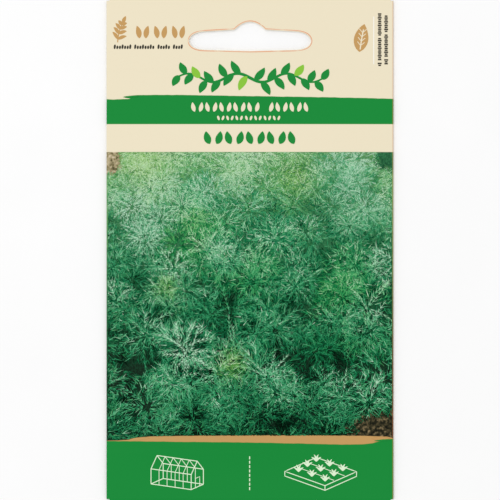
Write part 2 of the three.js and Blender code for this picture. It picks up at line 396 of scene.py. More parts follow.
# How much each part adds to the tone of the foliage behind the threads
GROUND_START = -0.68
GROUND_RISE = 0.72
GROUND_CLOUDS = 0.2
GROUND_STREAKS = 0.3
GROUND_CLUTTER = 1.0
GROUND_LEAF = -0.32
GROUND_EDGE = 0.25
GROUND_EDGE_WIDTH = 0.1

# Month boxes on the back panels: each row's height, its first and last month in colour, and its ink
BACK_START = WIDTH / 2 + 0.3
BOX_START = 46.0
BOX_PITCH = 2.3
BOX_COUNT = 12
BOX_HEIGHT = 3.4
BOX_SHARE = 0.88
BOX_ROWS = [(16.0, 3, 4, GREEN), (8.0, 6, 9, TAN)]

# The paper's fibre: cycles a millimetre, its share of the colour, its middle range and the paper's roughness
FIBRE_GRAIN = 1.4
FIBRE_SHARE = 0.015
FIBRE_RANGE = (0.3, 0.7)
PAPER_ROUGHNESS = (0.45, 0.58)
# Heights of the paper's tooth and of the layers beneath that press through
TOOTH_GRAIN = 2.6
TOOTH = 0.006
LAYER_STEP = 0.05
LAYER_STEP_WIDTH = 1.4


def patch_share(x, y, patch):
    """1 at a patch's centre, 0 at its edge."""
    (centre_x, centre_y), half_width, half_height = patch
    return 1 - math.hypot((x - centre_x) / half_width, (y - centre_y) / half_height)


def patch_mask(nodes, place, patches):
    """1 on the patches, which have ragged edges."""
    ragged = nodes.scaled(nodes.noise(place, 0.5), PATCH_RAGGEDNESS, -PATCH_RAGGEDNESS / 2)
    mask = 0.0
    for (centre_x, centre_y), half_width, half_height in patches:
        away = nodes.vector("SUBTRACT", place, (centre_x, centre_y, 0))
        away = nodes.vector("LENGTH", nodes.stretched(away, 1 / half_width, 1 / half_height, 0))
        near = nodes.plus(nodes.minus(1.0, away), ragged)
        mask = nodes.math("MAXIMUM", mask, nodes.over(near, level=0.1, softness=0.2))
    return mask


def picture_ground(nodes, place):
    """The soft dark foliage and soil behind the picture's threads."""
    x, y = nodes.split(place)[:2]
    up = nodes.remap(y, PICTURE_BOTTOM, PICTURE_TOP)
    streaks = nodes.noise(nodes.stretched(place, 1.7, 0.7, 0), 0.9, roughness=0.6)
    clutter = nodes.noise(nodes.stretched(place, 2.4, 1.6, 0), detail=3, roughness=0.8)
    parts = [
        (nodes.remap(up, 0.2, 1.0), GROUND_RISE),
        (nodes.noise(place, 0.16, detail=3), GROUND_CLOUDS),
        (streaks, GROUND_STREAKS),
        (clutter, GROUND_CLUTTER),
        (patch_mask(nodes, place, LEAF_PATCHES), GROUND_LEAF),
        (nodes.over(nodes.size(x), PICTURE_RIGHT - GROUND_EDGE_WIDTH), GROUND_EDGE),
    ]
    tone = GROUND_START
    for part, strength in parts:
        tone = nodes.scaled(part, strength, tone)
    clods = nodes.noise(place, 0.9, detail=3, roughness=0.65)
    soil = nodes.mix(nodes.over(y, 0.0), nodes.ramp(clods, SOIL_TONES), nodes.ramp(clods, SAND_TONES))
    return nodes.mix(patch_mask(nodes, place, SOIL_PATCHES), nodes.ramp(tone, DEEP_TONES), soil)


def back_colour(nodes, x, y, front_bands):
    """The back panels' print: the front's bands run on round the folds, over strips of month boxes."""
    out = nodes.math("DIVIDE", nodes.minus(nodes.size(x), BOX_START), BOX_PITCH)
    in_strip = nodes.within(out, BOX_COUNT / 2, BOX_COUNT / 2)
    in_box = nodes.times(in_strip, nodes.within(nodes.math("FRACT", out), 0.5, BOX_SHARE / 2))
    month = nodes.math("FLOOR", out)
    colour = CREAM
    for height, first, last, ink in BOX_ROWS:
        box = nodes.times(in_box, nodes.within(y, height, BOX_HEIGHT / 2))
        used = nodes.within(month, (first + last) / 2, (last - first + 1) / 2)
        colour = nodes.mix(box, colour, nodes.mix(used, PALE_BOX, ink))
    return nodes.mix(front_bands, colour, GREEN)


def print_colour(nodes, place):
    """The print's colour at a place on the flat sheet, before it is folded."""
    x, y = nodes.split(place)[:2]
    bristles = nodes.noise(nodes.stretched(place, 0.4, 2.2, 0))
    brushed = nodes.plus(y, nodes.scaled(bristles, BRUSH_ROUGHNESS, -BRUSH_ROUGHNESS / 2))
    band = nodes.times(nodes.over(y, BAND_BOTTOM), nodes.under(brushed, nodes.curve(x, BAND_TOP_CURVE)))
    above_foot = nodes.over(brushed, nodes.curve(x, STROKE_FOOT_CURVE))
    above_stroke = nodes.over(brushed, nodes.curve(x, STROKE_TOP_CURVE))
    edge_line = nodes.times(nodes.over(x, EDGE_LINE_X), EDGE_LINE_STRENGTH)
    colour = nodes.mix(band, CREAM, GREEN)
    colour = nodes.mix(nodes.under(y, PICTURE_TOP), colour, picture_ground(nodes, place))
    colour = nodes.mix(above_foot, GREEN, colour)
    colour = nodes.mix(nodes.minus(above_foot, above_stroke, clamp=True), colour, TAN)
    colour = nodes.mix(edge_line, colour, EDGE_ORANGE)
    bands = nodes.math("MAXIMUM", band, nodes.minus(1.0, above_foot))
    on_back = nodes.over(nodes.size(x), BACK_START)
    return nodes.mix(on_back, colour, back_colour(nodes, x, y, bands))


def paper_height(nodes, place):
    """Height of the paper's tooth and of the flaps' edges that press through, in millimetres."""
    y = nodes.split(place)[1]
    top_flap = nodes.over(y, HEIGHT / 2 - TOP_FLAP, LAYER_STEP_WIDTH)
    bottom_flap = nodes.under(y, BOTTOM_FLAP - HEIGHT / 2, LAYER_STEP_WIDTH)
    tooth = nodes.times(nodes.noise(place, TOOTH_GRAIN, roughness=0.6), TOOTH)
    return nodes.scaled(nodes.plus(top_flap, bottom_flap), LAYER_STEP, tooth)


def make_print_material():
    """The sheet's print on its outer side, and bare paper on its inner side."""
    material, nodes = new_material("printed_paper")
    place = nodes.node("ShaderNodeAttribute", attribute_name="print_mm").outputs["Vector"]
    bare = nodes.over(nodes.split(place)[2], level=0.3, softness=0.1)
    fibre = nodes.noise(place, FIBRE_GRAIN)
    colour = nodes.mix(nodes.times(fibre, FIBRE_SHARE), print_colour(nodes, place), FIBRE)
    colour = nodes.mix(bare, colour, RAW_PAPER)
    roughness = nodes.remap(fibre, *FIBRE_RANGE, *PAPER_ROUGHNESS)
    nodes.surface(colour, roughness, nodes.bump(paper_height(nodes, place), MM))
    return material


# The folded sheet

GRID_STEP = 0.8
BACK_STEP = 2.0
FOLD_STEPS = 8
CORNER_STEPS = 6
SLOT_STEPS = 10
# The window in the grid that holds the slot, with its margins at the sides, the foot and the top
WINDOW_MARGINS = (1.6, 1.1, 1.0)
WINDOW_X = SLOT_WIDTH / 2 + WINDOW_MARGINS[0]
WINDOW_FOOT = HEIGHT / 2 - SLOT_BOTTOM_MIDDLE - WINDOW_MARGINS[1]
WINDOW_TOP = HEIGHT / 2 - BUMP_TOP + WINDOW_MARGINS[2]
# Grid steps before, across and after the window
WINDOW_STEPS = (BACK_STEP, GRID_STEP, BACK_STEP)
SLOT_CLEARANCE = 0.35
TINY = 1e-6
SHARP_FOLD = math.radians(35)

# Seeds that press up through the front: their number, size, heights and the lift at which all of them show
LUMPS = 60
LUMP_LENGTH = 2.9
LUMP_WIDTH = 2.1
LUMP_HEIGHTS = (0.03, 0.09)
LOOSE_LIFT = 0.8
# Soft creases in the swollen paper: start, end and depth
CREASE_WIDTH = 1.6
CREASES = [
    ((-38.5, -22), (-21, -9), 0.16),
    ((38.5, -30), (24, -14), 0.18),
    ((-38, -52), (-25, -43), 0.14),
    ((38, -55), (23, -46), 0.13),
    ((-36, 18), (-14, 24), 0.08),
    ((36, 8), (17, 20), 0.10),
]

Lump = namedtuple("Lump", "x y height turn")
# A flat part of the sheet, the rules that fold it and say where on the print it is, and its two bake tiles
Patch = namedtuple("Patch", "flat fold printed_at printed_tile bare_tile")


def swell(x, y):
    """How far the front panel stands off its flat level, as in the model."""
    across = max(0.0, 1 - (abs(x) / SWELL_HALF_WIDTH) ** SWELL_FULLNESS)
    heights = [part.height * smoothstep(y, *part.rise) * (1 - smoothstep(y, *part.sink))
               for part in (SEED_SWELL, AIR_SWELL)]
    return across * sum(heights)


def scatter_lumps():
    """Seeds anywhere over the heap, turned anyhow."""
    draw = random.Random(5)
    lumps = []
    for _ in range(LUMPS):
        angle = draw.uniform(0, 2 * math.pi)
        reach = math.sqrt(draw.random())
        x = reach * HEAP_HALF_WIDTH * math.cos(angle)
        y = HEAP_CENTRE_Y + reach * HEAP_HALF_LENGTH * math.sin(angle)
        lumps.append(Lump(x, y, draw.uniform(*LUMP_HEIGHTS), draw.uniform(0, math.pi)))
    return lumps


def lump_height(lump, x, y):
    dx, dy = x - lump.x, y - lump.y
    along = dx * math.cos(lump.turn) + dy * math.sin(lump.turn)
    across = dy * math.cos(lump.turn) - dx * math.sin(lump.turn)
    return lump.height * math.exp(-(along / LUMP_LENGTH) ** 2 - (across / LUMP_WIDTH) ** 2)


def crease_depth(x, y, start, end, depth):
    run = (end[0] - start[0], end[1] - start[1])
    length = math.hypot(*run)
    along = ((x - start[0]) * run[0] + (y - start[1]) * run[1]) / length ** 2
    if not 0 < along < 1:
        return 0.0
    off = ((x - start[0]) * run[1] - (y - start[1]) * run[0]) / length
    return depth * math.sin(math.pi * along) * math.exp(-(off / CREASE_WIDTH) ** 2)


def front_lift(x, y, lumps):
    """Height of the front over its flat level, with the seeds' lumps and the creases."""
    lift = swell(x, y)
    if lift == 0.0:
        return 0.0
    relief = sum(lump_height(lump, x, y) for lump in lumps)
    relief -= sum(crease_depth(x, y, *crease) for crease in CREASES)
    return lift + min(1.0, lift / LOOSE_LIFT) * relief


# The front's lift at evenly spaced places, row by row from the bottom left
TABLE_STEP = 0.8
TABLE_COLUMNS = round(WIDTH / TABLE_STEP)
TABLE_ROWS = round(HEIGHT / TABLE_STEP)
seed_lumps = scatter_lumps()
LIFTS = [[front_lift(i * TABLE_STEP - WIDTH / 2, j * TABLE_STEP - HEIGHT / 2, seed_lumps)
          for i in range(TABLE_COLUMNS + 1)] for j in range(TABLE_ROWS + 1)]


def lift_at(x, y):
    """The front's lift at a place, between the places of the table."""
    across = clamped((x + WIDTH / 2) / TABLE_STEP, 0.0, TABLE_COLUMNS - TINY)
    along = clamped((y + HEIGHT / 2) / TABLE_STEP, 0.0, TABLE_ROWS - TINY)
    i, j = int(across), int(along)
    s, t = across - i, along - j
    low = LIFTS[j][i] * (1 - s) + LIFTS[j][i + 1] * s
    high = LIFTS[j + 1][i] * (1 - s) + LIFTS[j + 1][i + 1] * s
    return low * (1 - t) + high * t


def face_height(x, y):
    """Height of the printed face of the front."""
    return FRONT + HALF_PAPER + lift_at(x, y)


def fold_place(beyond, radius):
    """Place past the start of a fold: how far out, how high, and the outward direction."""
    angle = beyond / radius
    if angle > math.pi:
        return math.pi * radius - beyond, FRONT - 2 * radius, (0.0, -1.0)
    facing = (math.sin(angle), math.cos(angle))
    return radius * facing[0], FRONT - radius + radius * facing[1], facing


def front_place(u, v):
    """Where a point of the flat sheet lies once it is folded, and which way its printed side faces."""
    if abs(v) > END_Y:
        out, height, facing = fold_place(abs(v) - END_Y, END_RADIUS)
        end = math.copysign(1, v)
        return Vector((u, end * (END_Y + out), height)), Vector((0, end * facing[0], facing[1]))
    for side, edge, radius in ((1, RIGHT_X, RIGHT_RADIUS), (-1, LEFT_X, LEFT_RADIUS)):
        if side * u > edge:
            out, height, facing = fold_place(side * u - edge, radius)
            return Vector((side * (edge + out), v, height)), Vector((side * facing[0], 0, facing[1]))
    return Vector((u, v, FRONT + lift_at(u, v))), Vector((0, 0, 1))


def slot_outline(grow=0.0):
    """The hanging slot's outline, anticlockwise, grown outwards by a margin."""
    def level(down):
        return HEIGHT / 2 - down
    end = SLOT_WIDTH / 2 + grow
    corner = end - SLOT_CORNER_INSET
    straight = end - SLOT_END_LENGTH
    shoulder = BUMP_WIDTH / 2 + grow / 2
    top = level(BUMP_TOP - grow)
    waist = (end, level(SLOT_WAIST))
    bottom_end = (straight, level(SLOT_BOTTOM_ENDS + grow))
    top_end = (straight, level(SLOT_TOP_ENDS - grow))
    right = [(0, level(SLOT_BOTTOM_MIDDLE + grow))]
    right += quadratic(bottom_end, (corner, level(SLOT_BOTTOM_CORNER + grow)), waist, SLOT_STEPS)
    right += quadratic(waist, (corner, level(SLOT_TOP_CORNER - grow)), top_end, SLOT_STEPS)[1:]
    right += quadratic((shoulder, level(SLOT_SHOULDER - grow)), (shoulder / 2, top), (0, top), SLOT_STEPS)
    return right + [(-x, y) for x, y in reversed(right[1:-1])]


def sides(outline):
    return zip(outline, outline[1:] + outline[:1])


def inside_outline(x, y, outline):
    inside = False
    for (ax, ay), (bx, by) in sides(outline):
        if (ay > y) != (by > y) and x < (bx - ax) * (y - ay) / (by - ay) + ax:
            inside = not inside
    return inside


def outline_distance(x, y, outline):
    nearest = math.inf
    for (ax, ay), (bx, by) in sides(outline):
        run_x, run_y = bx - ax, by - ay
        share = clamped(((x - ax) * run_x + (y - ay) * run_y) / (run_x ** 2 + run_y ** 2), 0.0, 1.0)
        nearest = min(nearest, math.hypot(x - ax - share * run_x, y - ay - share * run_y))
    return nearest


def spaced(breaks, steps):
    """Places from the first break through all the others, about a step apart between two of them."""
    places = [breaks[0]]
    for low, high, step in zip(breaks, breaks[1:], steps):
        count = max(1, round((high - low) / step))
        places += [low + (high - low) * i / count for i in range(1, count + 1)]
    return places


class Flat:
    """Points and faces on the flat sheet, where a place has one point however many faces use it."""

    def __init__(self):
        self.points = []
        self.faces = []
        self.numbers = {}

    def number(self, u, v):
        key = (round(u, 4), round(v, 4))
        if key not in self.numbers:
            self.numbers[key] = len(self.points)
            self.points.append((u, v))
        return self.numbers[key]

    def add_face(self, corners):
        self.faces.append(tuple(self.number(u, v) for u, v in corners))


def fill_window(flat, us, vs):
    """Faces between the slot's outline and the part of the window that the sheet covers."""
    low_u, high_u = max(us[0], -WINDOW_X), min(us[-1], WINDOW_X)
    corners = [(low_u, WINDOW_FOOT), (high_u, WINDOW_FOOT), (high_u, WINDOW_TOP), (low_u, WINDOW_TOP)]
    outline = slot_outline()
    grid = [(u, v) for u in us for v in vs
            if low_u - TINY <= u <= high_u + TINY and WINDOW_FOOT - TINY <= v <= WINDOW_TOP + TINY
            and not inside_outline(u, v, outline) and outline_distance(u, v, outline) > SLOT_CLEARANCE]
    edges = []
    for first, count in ((0, len(outline)), (len(outline), len(corners))):
        edges += [(first + i, first + (i + 1) % count) for i in range(count)]
    given = [Vector(point) for point in outline + corners + grid]
    points, _, triangles = delaunay_2d_cdt(given, edges, [], 0, TINY)[:3]
    for triangle in triangles:
        a, b, c = (points[i] for i in triangle)
        centre = (a + b + c) / 3
        on_sheet = low_u < centre.x < high_u and not inside_outline(centre.x, centre.y, outline)
        if on_sheet and abs((b - a).cross(c - a)) > TINY:
            flat.add_face([(p.x, p.y) for p in (a, b, c)])


def flat_mesh(us, vs, slotted=True, keep=lambda u, v: True):
    """A grid on the flat sheet, of the cells that the rule keeps, with the hanging slot cut out of it."""
    flat = Flat()
    for u0, u1 in zip(us, us[1:]):
        for v0, v1 in zip(vs, vs[1:]):
            u, v = (u0 + u1) / 2, (v0 + v1) / 2
            in_window = abs(u) < WINDOW_X and WINDOW_FOOT < v < WINDOW_TOP
            if keep(u, v) and not (slotted and in_window):
                flat.add_face([(u0, v0), (u1, v0), (u1, v1), (u0, v1)])
    if slotted:
        fill_window(flat, us, vs)
    return flat


def wrapped(flat):
    """Faces of a closed sheet: the printed side, the bare side behind it, and the cut edge between them."""
    count = len(flat.points)
    faces = []
    directions = set()
    for face in flat.faces:
        faces.append(face)
        faces.append(tuple(count + i for i in reversed(face)))
        directions.update(sides(face))
    for a, b in sorted(directions):
        if (b, a) not in directions:
            faces.append((b, a, count + a, count + b))
    return faces


def fitted(points, tile):
    """Points of a flat patch moved and scaled to fill a tile of the unit square."""
    low_u, high_u, low_v, high_v = tile
    first_u = min(u for u, _ in points)
    first_v = min(v for _, v in points)
    across = (high_u - low_u) / (max(u for u, _ in points) - first_u)
    along = (high_v - low_v) / (max(v for _, v in points) - first_v)
    return [(low_u + (u - first_u) * across, low_v + (v - first_v) * along) for u, v in points]


def turn_outward(mesh):
    shape = bmesh.new()
    shape.from_mesh(mesh)
    bmesh.ops.recalc_face_normals(shape, faces=shape.faces)
    shape.to_mesh(mesh)
    shape.free()


def lay_out(mesh, places, uvs):
    """Bake places, from each point's own and its bare one. A cut edge takes its colour from the bare one."""
    layer = mesh.uv_layers.new(name="OFBake")
    for face in mesh.polygons:
        on_edge = len({places[i][2] for i in face.vertices}) == 2
        for loop in face.loop_indices:
            own, bare = uvs[mesh.loops[loop].vertex_index]
            layer.data[loop].uv = bare if on_edge else own


def paper_mesh(name, patches):
    """A closed sheet for each patch. Each point knows its place on the flat print, and its side."""
    vertices = []
    faces = []
    places = []
    uvs = []
    for patch in patches:
        points = patch.flat.points
        folded = [patch.fold(u, v) for u, v in points]
        printed = fitted(points, patch.printed_tile)
        bare = fitted(points, patch.bare_tile)
        faces += [tuple(len(vertices) + i for i in face) for face in wrapped(patch.flat)]
        for side, off, own in ((0.0, HALF_PAPER, printed), (1.0, -HALF_PAPER, bare)):
            vertices += [spot + facing * off for spot, facing in folded]
            places += [(*patch.printed_at(u, v), side) for u, v in points]
            uvs += zip(own, bare)
    mesh = new_mesh(name, vertices, faces)
    attribute = mesh.attributes.new("print_mm", "FLOAT_VECTOR", "POINT")
    attribute.data.foreach_set("vector", [number for place in places for number in place])
    turn_outward(mesh)
    lay_out(mesh, places, uvs)
    mesh.shade_smooth()
    mesh.set_sharp_from_angle(angle=SHARP_FOLD)
    return mesh


def add_piece(name, mesh, material):
    """A piece of printed paper or of the ink on it."""
    piece = add_object(name, mesh)
    mesh.materials.append(material)
    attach(piece, "root")
    return piece


def with_folds(breaks, first_fold, last_fold):
    """Places across the front panel through its breaks, with finer ones round the fold at each end."""
    steps = (first_fold / FOLD_STEPS, *[GRID_STEP] * (len(breaks) - 1), last_fold / FOLD_STEPS)
    return spaced((breaks[0] - first_fold, *breaks, breaks[-1] + last_fold), steps)


def front_patch():
    """The front panel with the folds on its four sides."""
    breaks_u = (-LEFT_X, -FLAP_ROOT_X, -WINDOW_X, WINDOW_X, FLAP_ROOT_X, RIGHT_X)
    breaks_v = (-END_Y, -TUBE_END_Y, WINDOW_FOOT, WINDOW_TOP, TUBE_END_Y, END_Y)
    us = with_folds(breaks_u, LEFT_FOLD, RIGHT_FOLD)
    vs = with_folds(breaks_v, END_FOLD, END_FOLD)
    flat = flat_mesh(us, vs, keep=lambda u, v: abs(v) < TUBE_END_Y or abs(u) < FLAP_ROOT_X)
    return Patch(flat, front_place, lambda u, v: (u, v), (0.0, 0.96, 0.0, 1.0), (0.97, 1.0, 0.0, 1.0))


def back_patch(us, height, fold_print, printed_tile, bare_tile):
    """A back panel, flat and face down at a height. Its print runs on from the front's, round the fold."""
    flat = flat_mesh(us, spaced((-TUBE_END_Y, WINDOW_FOOT, WINDOW_TOP, TUBE_END_Y), WINDOW_STEPS))

    def lying(u, v):
        return Vector((u, v, height)), Vector((0, 0, -1))
    return Patch(flat, lying, lambda u, v: (fold_print - u, v), printed_tile, bare_tile)


def flap_half_width(distance, length):
    """Half the flap's width at a distance from its fold: it tapers, and its corners are round."""
    tapered = FLAP_ROOT_X - FLAP_TAPER * distance / length
    short = max(0.0, FLAP_CORNER - (length - distance))
    return tapered - FLAP_CORNER + math.sqrt(max(0.0, FLAP_CORNER ** 2 - short ** 2))


def flap_patch(end, length, slotted, printed_tile, bare_tile):
    """A flap, laid out square on the grid and drawn in at its sides as it is folded."""
    turns = [math.pi / 2 * i / CORNER_STEPS for i in range(CORNER_STEPS + 1)]
    corner_rows = [HEIGHT / 2 - length + FLAP_CORNER * (1 - math.cos(turn)) for turn in turns]
    window = (WINDOW_FOOT, WINDOW_TOP) if slotted else ()
    rows = corner_rows + spaced((corner_rows[-1], *window, END_Y), WINDOW_STEPS)[1:]
    us = spaced((-FLAP_ROOT_X, -WINDOW_X, WINDOW_X, FLAP_ROOT_X), WINDOW_STEPS)

    def drawn_in(u, v):
        if abs(u) > WINDOW_X:
            share = (abs(u) - WINDOW_X) / (FLAP_ROOT_X - WINDOW_X)
            half = flap_half_width(HEIGHT / 2 - v, length)
            u = math.copysign(WINDOW_X + (half - WINDOW_X) * share, u)
        return Vector((u, end * v, HALF_PAPER)), Vector((0, 0, -1))

    def printed_at(u, v):
        return u, end * (2 * END_Y + END_FOLD - v)
    return Patch(flat_mesh(us, rows, slotted), drawn_in, printed_at, printed_tile, bare_tile)


def back_patches():
    """The two back panels and the two flaps, each in its own layer."""
    lap = SEAM_OVERLAP / 2
    outer = spaced((-lap, WINDOW_X, RIGHT_X), (GRID_STEP, BACK_STEP))
    inner = spaced((-LEFT_X, -WINDOW_X, lap), (BACK_STEP, GRID_STEP))
    right_print = 2 * RIGHT_X + RIGHT_FOLD
    left_print = -2 * LEFT_X - LEFT_FOLD
    return [
        back_patch(outer, OUTER_BACK, right_print, (0.0, 0.4, 0.0, 1.0), (0.85, 0.9, 0.0, 1.0)),
        back_patch(inner, INNER_BACK, left_print, (0.42, 0.82, 0.0, 1.0), (0.91, 0.93, 0.0, 1.0)),
        flap_patch(1, TOP_FLAP, True, (0.94, 0.96, 0.5, 1.0), (0.97, 1.0, 0.5, 1.0)),
        flap_patch(-1, BOTTOM_FLAP, False, (0.94, 0.96, 0.0, 0.48), (0.97, 1.0, 0.0, 0.48)),
    ]


# The picture of dill foliage: sprays of small tufts and a few feathery fronds, all made of thin threads

SPRAY_PITCH = 9.6
SPRAY_ROW = 0.78
SPRAY_REACH = 8.6
SPRAY_FLATNESS = 0.9
SPRAY_SHIFT = 0.6
SPRAY_SIZES = (0.7, 1.35)
SPRAY_OVERLAP = 3.0
# The far sprays, at the picture's top, are drawn this much smaller
FAR_SHRINK = 0.42
# Sprays start below the picture's foot and end above its top
START_BELOW = 3.0
END_ABOVE = 5.0
TUFTS = 290
TUFT_THREADS = 3
TUFT_FAN = 0.4
TUFT_TURN = 0.6
DROOP = 0.35
THREAD_LENGTH = 1.9
THREAD_LENGTHS = (0.5, 1.3)
THREAD_WIDTH = 0.175
THREAD_WIDTHS = (0.75, 1.2)
# The share of its width that a thread keeps however small its spray is
LEAST_WIDTH = 0.3
SHORTEST_SHARE = 0.2

# Fronds: how many a spray has, their runs and lengths, how they bend, and their side threads
FRONDS = 9
FROND_JOINTS = 7
FROND_START = 0.12
FROND_LENGTHS = (0.6, 1.1)
FROND_STEM = 1.3
FROND_SPACING = 0.4
FROND_BEND = 0.5
FROND_LIGHT = 0.3
SIDE_SLANTS = (0.3, 0.7)
SIDE_LENGTHS = (0.5, 1.0)
SIDE_TONE = 0.1

# The middle tone of the threads and its spread, from the picture's foot to its top
THREAD_TONES = [(0.0, 0.36, 0.25), (0.14, 0.54, 0.24), (0.35, 0.52, 0.25), (0.6, 0.60, 0.27),
                (0.85, 0.80, 0.21), (1.0, 0.98, 0.17)]
# Broad light and dark places, and places that turn yellow, each with its centre, size and strength
LIGHT_PLACES = [(-25, 10, 10, 0.16), (0, 22, 9, 0.1), (-19, -28, 6, 0.34), (32, -19, 6, 0.2),
                (8, 8, 10, -0.14), (-9, -13, 6, -0.2), (-36, -20, 6, -0.1), (24, -28, 5, -0.24),
                (-30, -44, 8, 0.1), (-2, -40, 4, -0.25), (-5, -31.5, 5, 0.25), (-7, -1, 5, 0.15),
                (8, -36, 8, 0.12), (26, -41, 7, 0.14)]
SUNNY_PLACES = [(-5, -31.5, 5.5, -1.0), (-7, -1, 5, -0.9), (-30, 24, 8, -0.4), (32.5, -19, 6, -0.7),
                (22, -21, 3.5, -0.6), (-23, -10, 3.5, -0.6), (14, 20, 6, -0.35)]
# Soft places anywhere, as number, sizes and strengths: shades, fresh green, and gaps in the near sprays
SHADES = (22, (5, 13), (-0.1, 0.1))
FRESH_PLACES = (18, (6, 14), (-0.2, 0.8))
GAPS = (70, (1.0, 2.6), (-3.4, -1.4))
DEEPEST_GAP = -2.2
GAP_RANGE = (5, -30)
# The hue turns sunny towards the top, and the palest threads have less of any hue
TOP_SUN = 0.5
TOP_START = 0.6
HUE_SPREAD = 0.25
PALE_TONES = (0.75, 1.1)
PALE_LOSS = 0.5
# How the spread is shared: whole sprays, tufts, fronds and single threads differ
SPRAY_SHARE = 0.45
TUFT_SHARE = 0.3
FROND_SHARE = 0.2
THREAD_RANGE = 3.1
# Few threads are light and many are dark
THREAD_POWER = 3
THREAD_MIDDLE = 0.6
# A spray is lightest in a ring round its middle, and lighter towards the sky
RING_PLACE = 0.42
RING_LIGHT = 0.35
RING_FALL = 1.9
SKY_LIGHT = 0.8
# How far in from its edge a patch may still have threads, as a share of its reach
PATCH_FRAY = 0.4
# Threads lie in a low pile: nearer sprays over farther ones, and light threads over dark ones
PILE_BASE = 0.03
PILE_RISE = 0.08
PILE_BY_TONE = 0.02
PILE_ROOT_DEPTH = 0.04
# A thread is this much darker at its root than in its middle, and lighter at its tip
TONE_RUN = 0.08
# Margins of the chart of tones, and how far a thread's root spreads on it
CHART_MARGIN = 0.02
CHART_SPREAD = 0.01
# Faces of a thread by its corners, which are right, tip, left and root: the flat top and three sides
SLIVER_FACES = ((0, 1, 2), (1, 0, 3), (2, 1, 3), (0, 2, 3))

Thread = namedtuple("Thread", "x y tip_x tip_y width tone hue level tip_level")
Spray = namedtuple("Spray", "x y size near middle spread hue")


def soft_places(draw, count, sizes, strengths):
    """Soft round places scattered over the picture, each with its centre, size and strength."""
    return [(draw.uniform(PICTURE_LEFT, PICTURE_RIGHT), draw.uniform(PICTURE_BOTTOM, PICTURE_TOP),
             draw.uniform(*sizes), draw.uniform(*strengths)) for _ in range(count)]


def place_sum(places, x, y):
    """What soft places add up to at a point."""
    return sum(strength * math.exp(-((x - place_x) ** 2 + (y - place_y) ** 2) / size ** 2)
               for place_x, place_y, size, strength in places)


def spray_places():
    """Staggered rows that close up towards the picture's top, as x, y, the share up and the size there."""
    y = PICTURE_BOTTOM - START_BELOW
    row = 0
    while y < PICTURE_TOP + END_ABOVE:
        up = (y - PICTURE_BOTTOM) / (PICTURE_TOP - PICTURE_BOTTOM)
        size = 1 - FAR_SHRINK * clamped(up, 0.0, 1.1)
        step = SPRAY_PITCH * size
        x = PICTURE_LEFT - step + (row % 2) * step / 2
        while x < PICTURE_RIGHT + step:
            yield x, y, up, size
            x += step
        y += step * SPRAY_ROW
        row += 1


def make_sprays(draw):
    """Sprays shifted a little from their places, each with its own size, tone and hue."""
    shades = LIGHT_PLACES + soft_places(draw, *SHADES)
    fresh = soft_places(draw, *FRESH_PLACES)
    sprays = []
    for x, y, up, size in spray_places():
        middle, spread = between(THREAD_TONES, up)
        here = [place + draw.uniform(-SPRAY_SHIFT, SPRAY_SHIFT) * SPRAY_PITCH * size for place in (x, y)]
        tone = middle + place_sum(shades, *here) + draw.gauss(0, SPRAY_SHARE * spread)
        hue = place_sum(fresh, *here) - TOP_SUN * smoothstep(up, TOP_START, 1.0)
        own_size = size * draw.uniform(*SPRAY_SIZES)
        near = here[1] + draw.uniform(-SPRAY_OVERLAP, SPRAY_OVERLAP)
        sprays.append(Spray(*here, own_size, near, tone, spread, hue))
    return sprays


def pile_level(spray, x, y, tone):
    """How high a thread lies over the paper: sprays lie like shingles, and rise to their middles."""
    reach = SPRAY_REACH * spray.size
    nearness = clamped((y - spray.near + reach) / (2 * reach), 0.0, 1.0)
    dome = 1 - min(math.hypot(x - spray.x, y - spray.y) / reach, 1.0)
    return PILE_BASE + PILE_RISE * (nearness + dome) / 2 + PILE_BY_TONE * clamped(tone, 0.0, 1.0)


def kept_share(root, end, margin):
    """How much of a thread, from its root, lies inside the picture. The root stays a margin inside."""
    foot = between(STROKE_TOP_CURVE, root[0])[0]
    share = 1.0
    for start, stop, low, high in zip(root, end, (PICTURE_LEFT, foot), (PICTURE_RIGHT, PICTURE_TOP)):
        if not low + margin < start < high - margin:
            return 0.0
        limit = clamped(stop, low, high)
        if limit != stop:
            share = min(share, (limit - start) / (stop - start))
    return share


def on_bare_patch(draw, x, y):
    """Whether a place lies on the soil or the broad leaf, whose edges are ragged."""
    inmost = max(patch_share(x, y, patch) for patch in SOIL_PATCHES + LEAF_PATCHES)
    return inmost > draw.uniform(0, PATCH_FRAY)


def add_thread(draw, threads, spray, root, heading, length, tone):
    """One thread, unless it starts on soil or too near the picture's edge."""
    end = stepped(root, length * spray.size, heading)
    width = THREAD_WIDTH * (LEAST_WIDTH + (1 - LEAST_WIDTH) * spray.size) * draw.uniform(*THREAD_WIDTHS)
    hue = spray.hue + place_sum(SUNNY_PLACES, *root) + draw.uniform(-HUE_SPREAD, HUE_SPREAD)
    hue *= 1 - PALE_LOSS * smoothstep(tone, *PALE_TONES)
    share = kept_share(root, end, width / 2)
    if share < SHORTEST_SHARE or on_bare_patch(draw, *root):
        return
    tip = [start + (stop - start) * share for start, stop in zip(root, end)]
    levels = pile_level(spray, *root, tone), pile_level(spray, *tip, tone)
    threads.append(Thread(*root, *tip, width, tone, hue, *levels))


def spray_light(share, turn):
    """Light on a spray, by the share of the way to its rim and the direction from its middle."""
    return RING_LIGHT - RING_FALL * (share - RING_PLACE) ** 2 + SKY_LIGHT * share * math.sin(turn)


